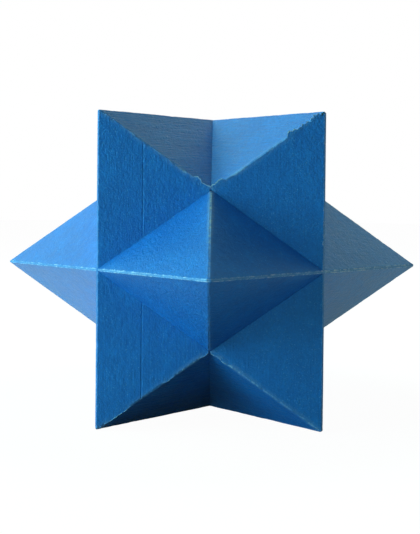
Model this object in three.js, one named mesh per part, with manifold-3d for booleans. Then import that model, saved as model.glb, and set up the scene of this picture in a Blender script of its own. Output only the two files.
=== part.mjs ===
// Six-stick star burr: a wooden interlocking puzzle whose outside is the stellated rhombic
// dodecahedron. All six sticks are the same: square in section, chiselled at both ends, with two
// V notches cut across the inner edge. They lie in three crossed pairs around the middle.
//
// Millimetres, +Z up. The origin is on the surface the puzzle stands on, under its middle.

import * as THREE from 'three';
import { mergeVertices } from 'three/addons/utils/BufferGeometryUtils.js';
import Module from 'manifold-3d';

const wasm = await Module();
wasm.setup();

// Driving dimensions.
const STICK_SIDE = 38; // width of each of the stick's four sides
const NOTCH_CLEARANCE = 0.3; // each notch face stands this far off its neighbour's side
const EDGE_EASE = 0.35; // how far each sharp edge is taken back, which leaves a narrow flat

// In a stick's own frame Z runs along its length, X points out of the puzzle and the inner long
// edge would lie on X = 0. HALF_DIAGONAL is the unit that every other size is a multiple of.
const HALF_DIAGONAL = STICK_SIDE / Math.SQRT2;
const DIAGONAL = 2 * HALF_DIAGONAL;
const HALF_LENGTH = DIAGONAL;
const HALF_HEIGHT = HALF_LENGTH - EDGE_EASE;
const CUT_MARGIN = 5; // how far a cutting prism runs past the wood

const X = new THREE.Vector3(1, 0, 0);
const Y = new THREE.Vector3(0, 1, 0);
const Z = new THREE.Vector3(0, 0, 1);

/** A straight prism: the outline lies across two axes and is swept evenly both ways along the third. */
function prism(outline, halfDepth, across, up, along) {
  const shape = new THREE.Shape(outline.map(([a, b]) => new THREE.Vector2(a, b)));
  const geometry = new THREE.ExtrudeGeometry(shape, { depth: 2 * halfDepth, bevelEnabled: false });
  geometry.translate(0, 0, -halfDepth);
  geometry.applyMatrix4(new THREE.Matrix4().makeBasis(across, up, along));
  return geometry;
}

function toSolid(geometry) {
  geometry.deleteAttribute('normal');
  geometry.deleteAttribute('uv');
  const merged = mergeVertices(geometry, 1e-5);
  return new wasm.Manifold(new wasm.Mesh({
    numProp: 3,
    vertProperties: new Float32Array(merged.attributes.position.array),
    triVerts: new Uint32Array(merged.index.array),
  }));
}

function toGeometry(solid) {
  const { vertProperties, triVerts } = solid.getMesh();
  const geometry = new THREE.BufferGeometry();
  geometry.setAttribute('position', new THREE.BufferAttribute(vertProperties, 3));
  geometry.setIndex(new THREE.BufferAttribute(triVerts, 1));
  geometry.computeVertexNormals();
  return geometry;
}

/** The square bar, standing on one corner, with its four long edges eased. */
function squareBar() {
  const side = HALF_DIAGONAL - EDGE_EASE;
  const outline = [
    [DIAGONAL - EDGE_EASE, -EDGE_EASE],
    [DIAGONAL - EDGE_EASE, EDGE_EASE],
    [HALF_DIAGONAL + EDGE_EASE, side],
    [HALF_DIAGONAL - EDGE_EASE, side],
    [EDGE_EASE, EDGE_EASE],
    [EDGE_EASE, -EDGE_EASE],
    [HALF_DIAGONAL - EDGE_EASE, -side],
    [HALF_DIAGONAL + EDGE_EASE, -side],
  ];
  return toSolid(prism(outline, HALF_LENGTH + CUT_MARGIN, X, Y, Z));
}

/** What the two chisel ends keep: each end is two 45 degree bevels that meet in an eased ridge. */
function chiselEnds() {
  const outline = [
    [HALF_LENGTH, 0],
    [EDGE_EASE, HALF_HEIGHT],
    [-EDGE_EASE, HALF_HEIGHT],
    [-HALF_LENGTH, 0],
    [-EDGE_EASE, -HALF_HEIGHT],
    [EDGE_EASE, -HALF_HEIGHT],
  ];
  return toSolid(prism(outline, DIAGONAL + CUT_MARGIN, Y, Z, X));
}

/** A right-angled V notch across the inner edge, its bottom half way through the stick. */
function notch(end) {
  const bottom = HALF_DIAGONAL + NOTCH_CLEARANCE * Math.SQRT2;
  const middle = end * HALF_DIAGONAL;
  const halfMouth = bottom + CUT_MARGIN;
  const outline = [
    [middle - halfMouth, -CUT_MARGIN],
    [middle + halfMouth, -CUT_MARGIN],
    [middle, bottom],
  ];
  return toSolid(prism(outline, DIAGONAL, Z, X, Y));
}

function stickGeometry() {
  const bar = squareBar().intersect(chiselEnds());
  return toGeometry(bar.subtract(notch(1)).subtract(notch(-1)));
}

/** Places the shared stick shape along an axis, with its outer edge facing outward. */
function makeStick(name, geometry, along, outward, colour) {
  const paint = new THREE.MeshStandardMaterial({ color: colour, roughness: 0.45, metalness: 0 });
  const stick = new THREE.Mesh(geometry, paint);
  const across = new THREE.Vector3().crossVectors(along, outward);
  stick.name = name;
  stick.quaternion.setFromRotationMatrix(new THREE.Matrix4().makeBasis(outward, across, along));
  return stick;
}

const geometry = stickGeometry();
const puzzle = new THREE.Group();
puzzle.position.z = HALF_HEIGHT;
puzzle.add(
  makeStick('upright_front_stick', geometry, Z, Y.clone().negate(), 0x1f5fa0),
  makeStick('upright_back_stick', geometry, Z, Y, 0x1b5794),
  makeStick('side_right_stick', geometry, Y, X, 0x2373bb),
  makeStick('side_left_stick', geometry, Y, X.clone().negate(), 0x3a86c8),
  makeStick('top_stick', geometry, X, Z, 0x2d7cc2),
  makeStick('bottom_stick', geometry, X, Z.clone().negate(), 0x1a5088),
);

export default puzzle;
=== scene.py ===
import math

import bmesh
import bpy
import numpy as np
from mathutils import Matrix, Vector, noise


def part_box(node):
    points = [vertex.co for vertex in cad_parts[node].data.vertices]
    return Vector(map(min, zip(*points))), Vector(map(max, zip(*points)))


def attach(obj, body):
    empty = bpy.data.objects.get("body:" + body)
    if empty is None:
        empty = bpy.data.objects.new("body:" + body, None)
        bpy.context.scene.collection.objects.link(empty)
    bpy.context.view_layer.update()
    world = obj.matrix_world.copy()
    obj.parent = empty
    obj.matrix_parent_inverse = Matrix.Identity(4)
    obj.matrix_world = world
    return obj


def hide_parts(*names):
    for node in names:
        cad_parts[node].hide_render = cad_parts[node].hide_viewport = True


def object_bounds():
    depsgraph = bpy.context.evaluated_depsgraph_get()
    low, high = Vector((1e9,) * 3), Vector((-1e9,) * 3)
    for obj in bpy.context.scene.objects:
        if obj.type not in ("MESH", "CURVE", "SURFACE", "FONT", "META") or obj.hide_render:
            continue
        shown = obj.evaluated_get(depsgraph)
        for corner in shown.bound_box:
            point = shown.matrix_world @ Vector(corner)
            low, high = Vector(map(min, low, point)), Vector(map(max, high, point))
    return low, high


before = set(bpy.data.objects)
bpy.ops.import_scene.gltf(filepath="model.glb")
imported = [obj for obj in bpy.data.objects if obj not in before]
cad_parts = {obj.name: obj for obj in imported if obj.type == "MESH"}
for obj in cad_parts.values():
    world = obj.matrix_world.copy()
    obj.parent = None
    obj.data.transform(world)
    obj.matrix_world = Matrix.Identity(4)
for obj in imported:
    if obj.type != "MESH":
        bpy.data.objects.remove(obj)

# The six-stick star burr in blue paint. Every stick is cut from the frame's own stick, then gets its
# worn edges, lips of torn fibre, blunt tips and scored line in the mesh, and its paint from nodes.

MM = 0.001
AXES = {"X": Vector((1, 0, 0)), "Y": Vector((0, 1, 0)), "Z": Vector((0, 0, 1))}

# ---------------------------------------------------------------- sizes, all from the frame
CAD_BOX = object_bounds()
CENTRE = (CAD_BOX[0] + CAD_BOX[1]) / 2
_low, _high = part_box("upright_front_stick")
HALF_LENGTH = (_high.z - _low.z) / 2 / MM
HALF_WIDTH = (_high.x - _low.x) / 2 / MM
UNIT = HALF_LENGTH - HALF_WIDTH  # half the diagonal of the stick's square section, mm
EASE = UNIT - HALF_WIDTH  # how far the long edges and ridges are taken back, mm
NOTCH_GAP = 0.3  # how far a notch face stands off its neighbour in the frame, mm
HAIRLINE = 0.06  # the gap that is left between the real sticks, mm
REACH = 2 * UNIT  # from the puzzle's middle out to a stick's long edge, or along to its ridge

# How each stick lies: the axis it runs along, the way its outer edge faces, and its own wear.
# worn is how bare the paint is on the long edge, the ridges, and the edges between bevel and side.
# sawn and rough are how far saw marks and lumps in the paint show, on the bevels and on the sides.
# blunt is how far the tips are taken back, by end, in mm. lips are where torn fibres stand up along
# an edge, by (side, end), level with its bevel or its side: each is how far along the edge from the
# notch to the tip, half its width on the same scale, and its height in mm. A scored stick has the
# scored line, one with a smooth_foot has less lumpy paint lower down, and a dusty one wears to beige,
# mostly on one side. far_wear is how much barer the long edge is at the far end, and the shaded crack
# is where a crack in the paint starts and ends, in mm from the tip; it is painted near-black, as
# painted shade for the shadow deep inside the crack.
STICKS = {
    "upright_front_stick": dict(
        along="Z", out="-Y", seed=11, worn=(0.14, 0.30, 0.55), sawn=(1.0, 0.2), rough=(1.2, 1.2),
        blunt={-1: 0.05, 1: 0.15}, scored=True, smooth_foot=True,
        lips={
            (1, 1): ("side", (0.0, 0.05, 1.00), (0.055, 0.04, 0.50), (0.12, 0.04, 0.85),
                     (0.19, 0.04, 0.25), (0.45, 0.10, 0.12), (0.80, 0.15, 0.15)),
            (1, -1): ("side", (0.0, 0.08, 0.40), (0.35, 0.05, 0.20), (0.80, 0.12, 0.30)),
        },
    ),
    "upright_back_stick": dict(
        along="Z", out="Y", seed=23, worn=(0.35, 0.30, 0.50), sawn=(0.6, 0.4), rough=(0.9, 1.0),
        blunt={-1: 0.20, 1: 0.30}, lips={(-1, 1): ("side", (0.05, 0.08, 0.5), (0.7, 0.05, 0.4))},
    ),
    "side_right_stick": dict(
        along="Y", out="X", seed=37, worn=(0.60, 0.90, 0.70), sawn=(0.1, 0.2), rough=(1.4, 0.6),
        blunt={-1: 0.70, 1: 0.15}, dusty=True, far_wear=2.4, lips={},
    ),
    "side_left_stick": dict(
        along="Y", out="-X", seed=41, worn=(0.40, 0.70, 0.30), sawn=(0.1, 0.3), rough=(0.5, 0.9),
        blunt={-1: 0.0, 1: 0.30}, lips={(1, 1): ("bevel", (0.1, 0.06, 0.4))},
    ),
    "top_stick": dict(
        along="X", out="Z", seed=59, worn=(0.30, 0.35, 0.60), sawn=(0.3, 1.0), rough=(1.3, 1.2),
        blunt={-1: 0.2, 1: 0.45}, shaded_crack=((-0.3, 0.5, -0.5), (-1.9, 1.15, -1.15)),
        lips={
            (1, 1): ("bevel", (0.0, 0.06, 1.20), (0.075, 0.05, 1.35), (0.15, 0.04, 0.20),
                     (0.69, 0.030, 1.20), (0.725, 0.018, 0.80), (0.76, 0.03, 0.45),
                     (0.80, 0.014, 0.80), (0.835, 0.02, 0.40), (0.875, 0.016, 0.80),
                     (0.905, 0.020, 1.00), (0.932, 0.014, 0.70)),
            (-1, -1): ("bevel", (0.1, 0.06, 0.5), (0.5, 0.04, 0.4), (0.85, 0.05, 0.5)),
        },
    ),
    "bottom_stick": dict(
        along="X", out="-Z", seed=67, worn=(0.30, 0.30, 0.80), sawn=(0.3, 0.6), rough=(0.8, 0.8),
        blunt={-1: 0.2, 1: 0.30},
        lips={(-1, 1): ("bevel", (0.0, 0.06, 0.40), (0.12, 0.05, 0.30), (0.45, 0.04, 0.18))},
    ),
}


def direction(name):
    return -AXES[name[1]] if name[0] == "-" else AXES[name]


def placement(stick):
    """The stick's own axes in the frame: X out of the puzzle, Z along the stick."""
    along, out = direction(stick["along"]), direction(stick["out"])
    across = along.cross(out)
    turn = Matrix((out, across, along)).transposed().to_4x4()
    return Matrix.Translation(CENTRE) @ turn


# ---------------------------------------------------------------- the stick's mesh
STRIPS = (0.3, 0.6, 1.0, 1.5, 2.2, 3.2, 5.0, 8.0, 12.0, 17.0, 23.0)  # mm in from each face
SLICE = 0.5  # mm between cuts along the stick
FINE_SLICE = 0.26  # mm between cuts across the cross edges
RIDGE_ZONE = 2.5  # mm from a ridge that is also cut across
CROSS_ZONE = 0.7  # mm from a cross edge that is cut finely
LIP_CLEAR = 0.12  # mm from the notch where torn fibres start, so that two sticks' fibres don't meet
LIP_START = 0.35  # mm from there to where they are at full height
LIP_LEAST = 0.04  # lips lower than this aren't raised, mm
LIP_PAINT = (0.05, 0.30)  # heights where the paint starts to change and is wholly a lip's, mm
LIP_PAINT_ZONE = 1.2  # mm from a cross edge that a lip's paint reaches
LIP_RAISED_ZONE = 0.2  # mm from a cross edge that a lip raises
LIP_TIP_GAP = 0.6  # mm from the long edge where lips end
WEAR_DEEPEST = 3.2  # mm under an edge that its wear may reach
SCORE_AT = 0.40 * UNIT  # where the scored line runs, across the outer side
SCORE_FLANKS = (-0.12, 0.0, 0.40)  # its steep flank, bottom and shallow flank, mm
SCORE_DEPTH = 0.14


def cut(bm, point, normal, near=None):
    """Splits the faces along a plane: all of them, or those whose middle passes the test."""
    if near is None:
        geometry = bm.verts[:] + bm.edges[:] + bm.faces[:]
    else:
        faces = [f for f in bm.faces if near(f.calc_center_median())]
        edges = {e for f in faces for e in f.edges}
        verts = {v for f in faces for v in f.verts}
        geometry = list(verts) + list(edges) + faces
    bmesh.ops.bisect_plane(bm, geom=geometry, dist=1e-4, plane_co=point, plane_no=normal)


def stick_blank():
    """The frame's stick in its own axes and in mm, cut finely wherever an edge can be worn."""
    bm = bmesh.new()
    bm.from_mesh(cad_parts["upright_front_stick"].data)
    bm.transform(Matrix.Scale(1 / MM, 4) @ placement(STICKS["upright_front_stick"]).inverted())
    bmesh.ops.remove_doubles(bm, verts=bm.verts[:], dist=1e-3)
    bmesh.ops.dissolve_limit(bm, angle_limit=0.01, verts=bm.verts[:], edges=bm.edges[:])
    close_notches(bm)
    for inset in STRIPS:
        for side in (-1, 1):
            outer = Vector((1, side, 0)).normalized()
            cut(bm, outer * (REACH / math.sqrt(2) - inset), outer)
            if inset < UNIT / 3:
                inner = Vector((-1, side, 0)).normalized()
                cut(bm, -inner * inset, inner)
            for end in (-1, 1):
                bevel = Vector((0, side, end)).normalized()
                cut(bm, bevel * (REACH / math.sqrt(2) - inset), bevel)
    for offset in SCORE_FLANKS:
        cut(bm, Vector((0, SCORE_AT + offset, 0)), Vector((0, 1, 0)), on_scored_side)
    slices = int(2 * REACH / SLICE)
    for i in range(1, slices):
        cut(bm, Vector((0, 0, -REACH + i * SLICE)), Vector((0, 0, 1)))
    for i in range(1, slices // 2):
        cut(bm, Vector((i * SLICE, 0, 0)), Vector((1, 0, 0)), near_ridge)
    fine_slices = int(UNIT / FINE_SLICE)
    for i in range(fine_slices):
        cut(bm, Vector((UNIT + i * FINE_SLICE, 0, 0)), Vector((1, 0, 0)), near_cross_edge)
    bmesh.ops.recalc_face_normals(bm, faces=bm.faces[:])
    return bm


def on_scored_side(p):
    return p.y > 0 and p.x + p.y > REACH - 0.01


def near_ridge(p):
    return abs(p.z) > REACH - RIDGE_ZONE


def near_cross_edge(p):
    across = abs(p.y)
    in_side, in_bevel = REACH - p.x - across, REACH - across - abs(p.z)
    return in_side < CROSS_ZONE and in_bevel < CROSS_ZONE and p.x > UNIT - 1


def close_notches(bm):
    """Moves the notch faces out until the sticks meet with a hairline gap, as the real ones do."""
    for v in [v for v in bm.verts if any(is_notch(f) for f in v.link_faces)]:
        normals = np.array([f.normal for f in v.link_faces])
        grow = np.array([NOTCH_GAP - HAIRLINE if is_notch(f) else 0.0 for f in v.link_faces])
        v.co += Vector(np.linalg.lstsq(normals, grow, rcond=1e-4)[0])


def is_notch(face):
    n = face.normal
    return abs(n.y) < 0.01 and n.x < -0.1 and abs(n.z) > 0.1


def fractal(p, size, seed, octaves=3):
    """Soft noise from about -1 to 1 whose largest features are about size mm."""
    return noise.fractal(p / size + Vector((seed, seed * 1.7, -seed)), 1.0, 2.0, octaves)


def ramp(value, start, end):
    """0 at start and before, 1 at end and after, smooth between; start may be the larger."""
    t = min(1.0, max(0.0, (value - start) / (end - start)))
    return t * t * (3 - 2 * t)


def face_normals(side, end):
    """The normals of the bevel and the outer side that meet in a cross edge."""
    return Vector((0, side, end)).normalized(), Vector((1, side, 0)).normalized()


def lip_height(bumps, p, seed):
    """How far the torn fibres stand up from a cross edge, in mm."""
    t = p.x / UNIT - 1
    listed = max(
        height * max(0.0, 1 - abs((t - middle) / half) ** 3) for middle, half, height in bumps
    )
    fringe = 0.10 * max(0.0, fractal(p, 1.1, seed + 6))
    ragged = listed * (1 + 0.55 * fractal(p, 1.0, seed)) + fringe
    return ragged * ramp(t * UNIT, LIP_CLEAR, LIP_CLEAR + LIP_START)


def raise_lips(bm, stick):
    """Stands thin ragged lips of torn fibres up along the cross edges that have them. The layer lip
    marks the wood around a lip, and rim its top."""
    layers = bm.verts.layers.float
    layers.new("rim")
    layers.new("lip")
    rim, lip = layers["rim"], layers["lip"]  # fetched last, because a new layer moves the others
    for (side, end), (level, *bumps) in stick["lips"].items():
        bevel, outer = face_normals(side, end)
        flat, other = (bevel, outer) if level == "bevel" else (outer, bevel)
        rise = (other - flat * flat.dot(other)).normalized()
        for v in bm.verts:
            in_bevel = REACH / math.sqrt(2) - v.co.dot(bevel)
            in_outer = REACH / math.sqrt(2) - v.co.dot(outer)
            if max(in_bevel, in_outer) > LIP_PAINT_ZONE or v.co.x > REACH - LIP_TIP_GAP:
                continue
            # the two faces' normals are 60 degrees apart, which gives the halves and the 0.75
            by_bevel = bevel * (in_bevel - in_outer / 2) / 0.75
            by_outer = outer * (in_outer - in_bevel / 2) / 0.75
            height = lip_height(bumps, v.co, stick["seed"])
            v[lip] = ramp(height, *LIP_PAINT)
            if height > LIP_LEAST and max(in_bevel, in_outer) < LIP_RAISED_ZONE:
                v[rim] = v[lip]
                v.co += by_bevel + by_outer + rise * height


def edge_list(stick):
    """Each kind of sharp edge: its outward bisector, how far out it lies, which points it may take,
    and how deep it is worn there."""
    seed = stick["seed"]

    def long_edge(p):
        return EASE + 0.02 + 0.12 * fractal(p, 9, seed) + 0.12 * max(0, fractal(p, 2.2, seed + 3))

    def ridge(p):
        return EASE + 0.02 + 0.10 * fractal(p, 8, seed + 5) + 0.12 * max(0, fractal(p, 2, seed + 7))

    def cross_edge(p):
        return 0.16 + 0.08 * fractal(p, 6, seed + 9) + 0.10 * max(0, fractal(p, 1.6, seed + 4))

    def blunt(p):
        return stick["blunt"][-1 if p.z < 0 else 1] + 0.15 * fractal(p, 2.2, seed + 13)

    def fine(p):
        return 0.05 + 0.04 * fractal(p, 3, seed + 15)

    tip = REACH * math.sqrt(2) - 2 * EASE / math.sqrt(2)
    corner = 2 * REACH / math.sqrt(6)
    yield Vector((1, 0, 0)), REACH, None, long_edge
    for end in (-1, 1):
        yield Vector((0, 0, end)), REACH, None, ridge
        yield Vector((1, 0, end)).normalized(), tip, None, blunt
    for side in (-1, 1):
        yield Vector((0, side, 0)), UNIT, None, lambda p: EASE + fine(p)
        for end in (-1, 1):
            yield Vector((1, 2 * side, end)).normalized(), corner, None, cross_edge
            tooth = Vector((-2, side, end)).normalized()
            yield tooth, -HAIRLINE / math.sqrt(3), lambda p: abs(p.z) < UNIT, fine
        inner = Vector((-1, side, 0)).normalized()
        yield inner, -HAIRLINE, lambda p: abs(p.z) > UNIT, fine


def wear_edges(bm, stick):
    """Takes every sharp edge back to an uneven flat, as handling and knocks do."""
    for bisector, reach, where, depth in edge_list(stick):
        for v in bm.verts:
            out = v.co.dot(bisector) - reach
            if out > -WEAR_DEEPEST and (where is None or where(v.co)):
                over = out + depth(v.co)
                if over > 0:
                    v.co -= bisector * over


def score_line(bm):
    """The narrow line cut across the front upright's left face, steep on its left flank."""
    inward = Vector((-1, -1, 0)).normalized()
    for v in bm.verts:
        if on_scored_side(v.co) and abs(v.co.y - SCORE_AT) < 0.01:
            v.co += inward * SCORE_DEPTH


def make_stick(name, blank):
    stick = STICKS[name]
    bm = blank.copy()
    if stick.get("scored"):
        score_line(bm)
    wear_edges(bm, stick)
    raise_lips(bm, stick)
    bm.transform(Matrix.Scale(MM, 4))
    mesh = bpy.data.meshes.new(name.replace("_stick", "_painted_stick"))
    bm.to_mesh(mesh)
    bm.free()
    piece = bpy.data.objects.new(mesh.name, mesh)
    bpy.context.scene.collection.objects.link(piece)
    piece.matrix_world = placement(stick)
    return piece


# ---------------------------------------------------------------- shader expressions
class Wire:
    """A shader socket that can stand in a Python expression."""

    def __init__(self, shader, socket):
        self.shader, self.socket = shader, socket

    def math(self, operation, *values):
        sockets = dict(enumerate((self, *values)))
        return self.shader.node("ShaderNodeMath", {"operation": operation}, sockets)

    def __add__(self, other):
        return self.math("ADD", other)

    def __sub__(self, other):
        return self.math("SUBTRACT", other)

    def __mul__(self, other):
        return self.math("MULTIPLY", other)

    def __truediv__(self, other):
        return self.math("DIVIDE", other)

    def __rsub__(self, other):
        return self.shader.node("ShaderNodeMath", {"operation": "SUBTRACT"}, {0: other, 1: self})

    __radd__ = __add__

    def __abs__(self):
        return self.math("ABSOLUTE")

    def smaller(self, other):
        return self.math("MINIMUM", other)

    def larger(self, other):
        return self.math("MAXIMUM", other)

    def fade(self, start, end):
        """0 at start and before, 1 at end and after, smooth between; start may be the larger."""
        settings = {"interpolation_type": "SMOOTHSTEP", "clamp": True}
        if start < end:
            sockets = {"Value": self, "From Min": start, "From Max": end}
            return self.shader.node("ShaderNodeMapRange", settings, sockets)
        sockets = {"Value": self, "From Min": end, "From Max": start, "To Min": 1.0, "To Max": 0.0}
        return self.shader.node("ShaderNodeMapRange", settings, sockets)


class Shader:
    """Builds one material's nodes."""

    def __init__(self, name):
        self.material = bpy.data.materials.new(name)
        self.material.use_nodes = True
        self.tree = self.material.node_tree
        self.principled = self.tree.nodes["Principled BSDF"]

    def node(self, kind, settings, sockets, output=0):
        made = self.tree.nodes.new(kind)
        for key, value in settings.items():
            setattr(made, key, value)
        for key, value in sockets.items():
            self.feed(made.inputs[key], value)
        return Wire(self, made.outputs[output])

    def feed(self, socket, value):
        if isinstance(value, Wire):
            self.tree.links.new(value.socket, socket)
        else:
            socket.default_value = value

    def set(self, name, value):
        self.feed(self.principled.inputs[name], value)

    def mix(self, factor, first, second):
        sockets = {0: factor, 6: first, 7: second}
        return self.node("ShaderNodeMix", {"data_type": "RGBA"}, sockets, 2)

    def scaled(self, vector, factors):
        sockets = {0: vector, 1: factors}
        return self.node("ShaderNodeVectorMath", {"operation": "MULTIPLY"}, sockets)

    def noise(self, vector, scale, detail=2.0, roughness=0.5, distortion=0.0):
        sockets = {"Vector": vector, "Scale": scale, "Detail": detail, "Roughness": roughness,
                   "Distortion": distortion}
        return self.node("ShaderNodeTexNoise", {}, sockets)


# ---------------------------------------------------------------- the paint
CROSS_SCALE = 0.8165  # turns a depth under a face into a distance from a cross edge
# the shape of the painted shade inside the crack by the top stick's tip
CRACK_SIDE = (0.16, 0.07)  # the slit's edge, as squared distances from its middle line, mm2
CRACK_START = (-0.2, 0.1)  # how it comes in before its first point, mm
CRACK_TAPER = (0.3, 1.2)  # past its last point, and how far along it starts to fade, mm
PAINT = (0.0085, 0.185, 0.720, 1.0)
PAINT_DEEP = (0.0050, 0.120, 0.540, 1.0)
PAINT_FADED = (0.0140, 0.268, 0.780, 1.0)
SPECK = (0.120, 0.480, 0.880, 1.0)
BEIGE = (0.400, 0.560, 0.600, 1.0)
TORN = (0.480, 0.800, 0.960, 1.0)
# painted shade: near-black for the shadow deep inside the crack by the top stick's tip
CRACK_SHADE = (0.0, 0.004, 0.010, 1.0)
WORN = (0.340, 0.620, 0.980, 1.0)
CHALK = (0.740, 0.860, 1.000, 1.0)
WOOD_PALE = (0.740, 0.410, 0.210, 1.0)
WOOD_DARK = (0.480, 0.230, 0.100, 1.0)


def crack_shade_mask(sh, mm, ends):
    """Painted shade: the dark inside of a crack in the paint by the tip, between two points given from the
    tip in mm.
    """
    tip = Vector((REACH, 0, REACH))
    first, last = tip + Vector(ends[0]), tip + Vector(ends[1])
    way = (last - first).normalized()
    from_first = sh.node("ShaderNodeVectorMath", {"operation": "SUBTRACT"}, {0: mm, 1: first})
    dot = {"operation": "DOT_PRODUCT"}
    along = sh.node("ShaderNodeVectorMath", dot, {0: from_first, 1: way}, "Value")
    squared = sh.node("ShaderNodeVectorMath", dot, {0: from_first, 1: from_first}, "Value")
    off = squared - along * along
    end = (last - first).length + CRACK_TAPER[0]
    return off.fade(*CRACK_SIDE) * along.fade(*CRACK_START) * along.fade(end, CRACK_TAPER[1])


def painted_wood(name, stick):
    """Satin blue paint on sawn wood: rubbed pale on the edges, and bare where sticks meet."""
    sh = Shader(name)
    seed = stick["seed"]
    metres = sh.node("ShaderNodeTexCoord", {}, {}, "Object")
    mm = sh.scaled(metres, (1 / MM, 1 / MM, 1 / MM))
    parts = sh.node("ShaderNodeSeparateXYZ", {}, {0: mm}).socket.node.outputs
    x, y, z = (Wire(sh, socket) for socket in parts)
    shift = (seed * 13.1, seed * 7.7, seed * 3.3)
    here = sh.node("ShaderNodeVectorMath", {"operation": "ADD"}, {0: mm, 1: shift})

    # where on the stick: depth under the outer sides and under the bevels, and distance to edges
    across, length = abs(y), abs(z)
    under_side = REACH - x - across
    under_bevel = REACH - across - length
    skin = under_side.smaller(under_bevel)
    middle_edge = across * math.sqrt(2)
    cross_edge = under_side.larger(under_bevel) * CROSS_SCALE
    on_bevel = (under_side - under_bevel).fade(0.2, 0.8)
    on_ridge = (length - x).fade(-0.3, 0.3)

    # textures, coarse to fine
    blotch = sh.noise(here, 0.045, 3.0)
    cloud = sh.noise(here, 0.20, 3.0)
    patches = sh.noise(here, 0.16, 2.0)
    pebble = sh.noise(sh.scaled(here, (1.0, 1.0, 0.6)), 1.1, 3.0, 0.70)
    ragged = sh.noise(here, 1.3, 4.0, 0.70)
    flakes = sh.noise(here, 0.55, 2.0, 0.60)
    streaky = sh.noise(sh.scaled(here, (0.35, 1.2, 0.35)), 2.0, 3.0, 0.65)
    grain = sh.noise(sh.scaled(here, (1.3, 1.3, 0.10)), 1.0, 3.0, 0.6)
    saw_side = sh.noise(sh.scaled(here, (2.2, 2.2, 0.10)), 1.0, 1.0, 0.4, 0.15)
    saw_bevel = sh.noise(sh.scaled(here, (0.10, 2.2, 2.2)), 1.0, 1.0, 0.4, 0.15)
    dust = sh.noise(here, 2.4, 1.0, 0.3)
    fine = sh.noise(here, 2.2, 2.0, 0.6)

    # edge wear: two ragged lines along each eased edge, thinner marks on the cross edges
    jitter = (streaky - 0.5) * 1.3 + (flakes - 0.5) * 0.9 + (ragged - 0.5) * 0.9
    border = abs(middle_edge - 0.48)
    worn_long, worn_ridge, worn_cross = stick["worn"]
    far_wear = z.fade(-3.0, 3.0) * (stick.get("far_wear", 1.0) - 1.0) + 1.0
    worn_middle = on_ridge * (worn_ridge - worn_long) + far_wear * worn_long
    lines = (border + jitter).fade(0.24, 0.02)
    film = (middle_edge + jitter * 0.5).fade(0.80, 0.45) * 0.40
    rubbed_middle = lines.larger(film) * worn_middle
    near_notch = (x - UNIT).fade(12.0, 3.0) * 0.6 + 0.8
    rim = sh.node("ShaderNodeAttribute", {"attribute_name": "rim"}, {}, "Fac")
    lip = sh.node("ShaderNodeAttribute", {"attribute_name": "lip"}, {}, "Fac")
    off_lip = 1.0 - lip * 0.85
    if "dusty" in stick:
        off_lip = off_lip * y.fade(2.0, -2.0) + 0.25
        near_notch = (x - UNIT).fade(20.0, 8.0) * 1.1 + 0.3
    cross_line = (cross_edge + jitter + patches * 0.8).fade(0.85, 0.30)
    rubbed_cross = cross_line * worn_cross * near_notch * off_lip
    cross_halo = (cross_edge + jitter).fade(1.8, 0.2) * 0.25 * worn_cross * near_notch * off_lip
    rim_paint = rim.fade(0.72, 0.88) * ragged.fade(0.34, 0.46)
    chalky = (border + jitter * 1.2).fade(0.05, -0.30) * worn_middle
    halo = middle_edge.smaller(cross_edge * 1.4).fade(3.0, 0.3) * 0.15 * worn_middle
    specks = dust.fade(0.64, 0.74) * patches.fade(0.30, 0.60) * 0.45

    sawn_bevel, sawn_side = stick["sawn"]
    sawn_amount = on_bevel * (sawn_bevel - sawn_side) + sawn_side
    ribs = saw_side * (1.0 - on_bevel) + saw_bevel * on_bevel
    bumps_bevel, bumps_side = stick["rough"]
    lumps = on_bevel * (bumps_bevel - bumps_side) + bumps_side
    if "smooth_foot" in stick:
        lumps = lumps * (z.fade(-28.0, 6.0) * 0.55 + 0.45)
    tone = (blotch * 0.45 + cloud * 0.30 + pebble * 0.25).fade(0.30, 0.70)
    colour = sh.mix(tone, PAINT_DEEP, PAINT)
    colour = sh.mix(cloud.fade(0.50, 0.85) * 0.30 + halo, colour, PAINT_FADED)
    colour = sh.mix(pebble.fade(0.54, 0.32) * 0.75 * lumps, colour, PAINT_DEEP)
    colour = sh.mix(fine.fade(0.54, 0.70) * 0.55 * lumps, colour, PAINT_FADED)
    colour = sh.mix(grain.fade(0.60, 0.80) * 0.10, colour, PAINT_DEEP)
    colour = sh.mix(ribs.fade(0.42, 0.62) * 0.30 * sawn_amount, colour, PAINT_FADED)
    colour = sh.mix(specks, colour, SPECK)
    rubbed_to = BEIGE if "dusty" in stick else WORN
    colour = sh.mix(cross_halo, colour, rubbed_to)
    colour = sh.mix(rubbed_cross * 0.80, colour, rubbed_to)
    colour = sh.mix(rubbed_middle * 0.75, colour, WORN)
    colour = sh.mix(chalky * 0.60, colour, CHALK)
    colour = sh.mix(rim_paint * 0.85, colour, TORN)

    # bare wood on the mating faces, with a ragged edge of paint
    seep = skin + (ragged - 0.5) * 1.6
    hidden = (across - length) + (ragged - 0.5) * 1.4
    bare = seep.fade(3.4, 3.8).larger(hidden.fade(2.6, 3.0) * (1.0 - on_bevel))
    wood_grain = sh.noise(sh.scaled(here, (0.55, 0.55, 0.02)), 1.0, 5.0, 0.6, 0.6)
    wood = sh.mix(wood_grain.fade(0.35, 0.70), WOOD_PALE, WOOD_DARK)
    colour = sh.mix(bare, colour, wood)

    # painted shade: the crack by the tip is coloured near-black where its shadow falls
    if "shaded_crack" in stick:
        colour = sh.mix(crack_shade_mask(sh, mm, stick["shaded_crack"]), colour, CRACK_SHADE)

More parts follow.
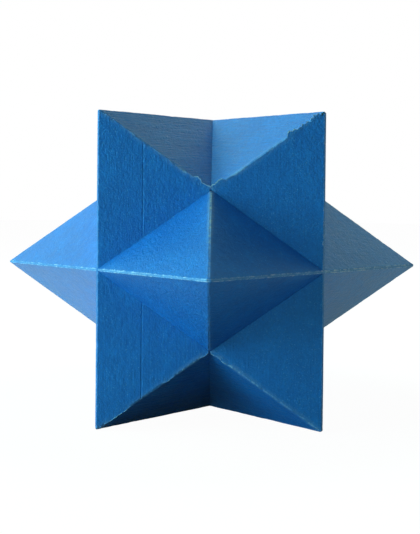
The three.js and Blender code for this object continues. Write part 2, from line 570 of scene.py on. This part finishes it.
    rubbed = rubbed_middle.larger(rubbed_cross)
    roughness = 0.42 + (cloud - 0.5) * 0.12 + rubbed * 0.20 + bare * 0.25
    lumpy = (pebble * 0.22 + fine * 0.07) * lumps + flakes * 0.16
    height = lumpy + grain * (1.0 - on_bevel) * 0.03 + ribs * sawn_amount * 0.26
    bump = sh.node("ShaderNodeBump", {}, {"Strength": 1.0, "Distance": MM, "Height": height})

    sh.set("Base Color", colour)
    sh.set("Roughness", roughness)
    sh.set("Normal", bump)
    sh.set("IOR", 1.50)
    sh.set("Specular Tint", (0.26, 1.0, 1.0, 1.0))
    return sh.material


# ---------------------------------------------------------------- camera and stage
CAMERA_AZIMUTH = math.radians(45.477)
CAMERA_DISTANCE = 12.844 * UNIT * MM
CAMERA_HEIGHT = 0.882 * UNIT * MM
CAMERA_PITCH = math.radians(-0.86)
CAMERA_ROLL = math.radians(0.552)
CAMERA_LENS = 62.32
CAMERA_SENSOR = 36
CAMERA_SHIFT = (-0.0034, -0.0999)


def make_camera():
    """A nearly level camera a little above the puzzle's middle, framed with a little shift."""
    back = Vector((math.sin(CAMERA_AZIMUTH), -math.cos(CAMERA_AZIMUTH), 0))
    right = Vector((math.cos(CAMERA_AZIMUTH), math.sin(CAMERA_AZIMUTH), 0))
    up = AXES["Z"]
    away = back * math.cos(CAMERA_PITCH) - up * math.sin(CAMERA_PITCH)
    top = up * math.cos(CAMERA_PITCH) + back * math.sin(CAMERA_PITCH)
    rolled_right = right * math.cos(CAMERA_ROLL) + top * math.sin(CAMERA_ROLL)
    rolled_top = top * math.cos(CAMERA_ROLL) - right * math.sin(CAMERA_ROLL)
    data = bpy.data.cameras.new("camera")
    data.lens, data.sensor_width = CAMERA_LENS, CAMERA_SENSOR
    data.shift_x, data.shift_y = CAMERA_SHIFT
    camera = bpy.data.objects.new("camera", data)
    bpy.context.scene.collection.objects.link(camera)
    turn = Matrix((rolled_right, rolled_top, away)).transposed().to_4x4()
    place = CENTRE + back * CAMERA_DISTANCE + up * CAMERA_HEIGHT
    camera.matrix_world = Matrix.Translation(place) @ turn
    bpy.context.scene.camera = camera
    return right, back, up


# How bright each part of the studio is. The reflected room is brightest to the left and beyond the
# puzzle and dimmest behind the camera.
HIGH_POWER = 2.0
HIGH_WAY = (-0.70, -0.10, 0.70)
MAIN_POWER = 4.9
MAIN_WAY = (-0.93, 0.27, 0.23)
LOW_POWER = 2.0
LOW_WAY = (-0.90, 0.30, -0.10)
REAR_POWER = 3.0
REAR_WAY = (0.20, -1.00, 0.05)
LIGHT_COLOUR = (0.46, 0.97, 0.94)
HIGH_COLOUR = (0.48, 1.08, 0.93)
LIGHT_DISTANCE = 0.75
LIGHT_SIZE = 0.6
SURROUND = 0.11
CARD_GLOW = 0.15
ROOM_GLOW = 0.85
ROOM_LEFT = 0.63
ROOM_BEYOND = 1.00
TABLE_NEAR = 1.50
TABLE_GLOW = 1.00
TABLE_LEFT = 1.25
REFLECTED_TINT = (0.74, 0.96, 0.86, 1.0)
BRIGHTEST = 4.0  # what the reflected glows are fractions of
BLACK = (0.0, 0.0, 0.0, 1.0)
WHITE = (1.0, 1.0, 1.0, 1.0)
FLOOR_GLOW = 0.97
CARD_COLOUR = (0.17, 0.17, 0.17, 1.0)
FLAT_RADIUS = 3.0  # of the floor, card and table top, m
FLAT_HEIGHT = -0.3 * MM
WHITE_ROOM_RADIUS = 3.2
REFLECTED_ROOM_RADIUS = 3.1
# painted shadow: the card and the near part of the reflected table top stay dark close round the puzzle,
# where its shadow falls
CARD_FADE = (0.080, 0.120)  # how far out the card starts to glow and glows fully, m
NEAR_FADE_IN = (0.047, 0.062)  # the same for the near part of the reflected table top
NEAR_FADE_OUT = (0.10, 0.08)
FAR_FADE_IN = (0.08, 0.10)
FLOOR_COLOUR = (0.10, 0.10, 0.10, 1.0)


def glowing(name, colour, strength):
    """A surface that only gives off light."""
    sh = Shader(name)
    sh.set("Base Color", BLACK)
    sh.set("Specular IOR Level", 0.0)
    sh.set("Emission Color", colour)
    sh.set("Emission Strength", strength)
    return sh


def glow_by(sh, colour, glow):
    """Lets the glow change over the surface, up to the surface's own strength."""
    sh.set("Emission Color", sh.mix(glow / BRIGHTEST, BLACK, colour))


def stage_mesh(name, bm, material, seen_by):
    mesh = bpy.data.meshes.new(name)
    bm.to_mesh(mesh)
    bm.free()
    mesh.materials.append(material)
    piece = bpy.data.objects.new(name, mesh)
    bpy.context.scene.collection.objects.link(piece)
    piece.visible_shadow = False
    piece.visible_camera = seen_by == "camera"
    piece.visible_diffuse = seen_by == "diffuse"
    piece.visible_glossy = seen_by == "glossy"


def flat_disc():
    bm = bmesh.new()
    bmesh.ops.create_circle(bm, cap_ends=True, segments=96, radius=FLAT_RADIUS)
    bmesh.ops.translate(bm, verts=bm.verts[:], vec=(0, 0, FLAT_HEIGHT))
    return bm


def ball(radius):
    bm = bmesh.new()
    bmesh.ops.create_icosphere(bm, subdivisions=4, radius=radius)
    bmesh.ops.reverse_faces(bm, faces=bm.faces[:])
    return bm


def reflected(name, right, back):
    """A surface that the paint reflects, with its distance and how far to the left and beyond the
    puzzle it lies, for its glow to follow."""
    sh = glowing(name, REFLECTED_TINT, BRIGHTEST)
    metres = sh.node("ShaderNodeTexCoord", {}, {}, "Object")
    way = sh.node("ShaderNodeVectorMath", {"operation": "NORMALIZE"}, {0: metres})
    out = sh.node("ShaderNodeVectorMath", {"operation": "LENGTH"}, {0: metres}, "Value")
    dot = {"operation": "DOT_PRODUCT"}
    to_left = sh.node("ShaderNodeVectorMath", dot, {0: way, 1: -right}, "Value")
    to_far = sh.node("ShaderNodeVectorMath", dot, {0: way, 1: -back}, "Value")
    return sh, out, to_left, to_far


def make_stage(right, back):
    """A pale floor and a white room for the eye, and for the light a card laid round the puzzle and
    a room and table top that the paint reflects. The card's glow is painted bounce light, and it stays
    dark close round the puzzle as a painted shadow; the reflected table top is dark there too, as a
    painted shadow in the reflection."""
    paper = glowing("paper", WHITE, FLOOR_GLOW)
    paper.set("Base Color", FLOOR_COLOUR)
    stage_mesh("floor", flat_disc(), paper.material, "camera")
    stage_mesh("white_room", ball(WHITE_ROOM_RADIUS), glowing("white_room", WHITE, 1.0).material, "camera")

    card = glowing("card", WHITE, CARD_GLOW)
    card.set("Base Color", CARD_COLOUR)
    metres = card.node("ShaderNodeTexCoord", {}, {}, "Object")
    out = card.node("ShaderNodeVectorMath", {"operation": "LENGTH"}, {0: metres}, "Value")
    # painted bounce light and painted shadow: the card glows like the lit table top, but not close round
    # the puzzle, where its shadow falls
    card.set("Emission Color", card.mix(out.fade(*CARD_FADE), BLACK, WHITE))
    stage_mesh("card", flat_disc(), card.material, "diffuse")

    sh, _, to_left, to_far = reflected("reflected_room", right, back)
    sides = to_left.larger(0.0) * ROOM_LEFT + to_far.larger(0.0) * ROOM_BEYOND
    glow_by(sh, REFLECTED_TINT, sides + ROOM_GLOW)
    stage_mesh("reflected_room", ball(REFLECTED_ROOM_RADIUS), sh.material, "glossy")
    sh, out, to_left, _ = reflected("reflected_table", right, back)
    # painted shadow in the reflection: the reflected table top is dark close round the puzzle
    near = (to_left.larger(0.0) + 0.6) * out.fade(*NEAR_FADE_IN) * out.fade(*NEAR_FADE_OUT) * TABLE_NEAR
    far = (to_left.larger(0.0) * TABLE_LEFT + TABLE_GLOW) * out.fade(*FAR_FADE_IN)
    glow_by(sh, REFLECTED_TINT, near + far)
    stage_mesh("reflected_table", flat_disc(), sh.material, "glossy")


def area_light(name, way, power, colour):
    data = bpy.data.lights.new(name, "AREA")
    data.shape, data.size, data.size_y = "RECTANGLE", LIGHT_SIZE, LIGHT_SIZE
    data.energy, data.color = power, colour
    lamp = bpy.data.objects.new(name, data)
    lamp.location = CENTRE + way.normalized() * LIGHT_DISTANCE
    lamp.rotation_mode = "QUATERNION"
    lamp.rotation_quaternion = way.to_track_quat("Z", "Y")
    bpy.context.scene.collection.objects.link(lamp)


def make_lights(right, back, up):
    """Three large soft lights on the left, from high to low, and one behind for the rear faces."""
    for name, way, power, colour in (
        ("high", HIGH_WAY, HIGH_POWER, HIGH_COLOUR),
        ("main", MAIN_WAY, MAIN_POWER, LIGHT_COLOUR),
        ("low", LOW_WAY, LOW_POWER, LIGHT_COLOUR),
        ("rear", REAR_WAY, REAR_POWER, LIGHT_COLOUR),
    ):
        way = way[0] * right + way[1] * back + way[2] * up
        area_light(name, way, power, colour)
    world = bpy.data.worlds.new("surround")
    bpy.context.scene.world = world
    world.use_nodes = True
    world.node_tree.nodes["Background"].inputs["Color"].default_value = (1, 1, 1, 1)
    world.node_tree.nodes["Background"].inputs["Strength"].default_value = SURROUND


# ---------------------------------------------------------------- the model
right, back, up = make_camera()
make_stage(right, back)
make_lights(right, back, up)

blank = stick_blank()
for name, stick in STICKS.items():
    piece = make_stick(name, blank)
    slot = "blue_paint_" + name.replace("_stick", "")
    piece.data.materials.append(painted_wood(slot, stick))
    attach(piece, name)
    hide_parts(name)

scene = bpy.context.scene
scene.view_settings.view_transform = "Standard"
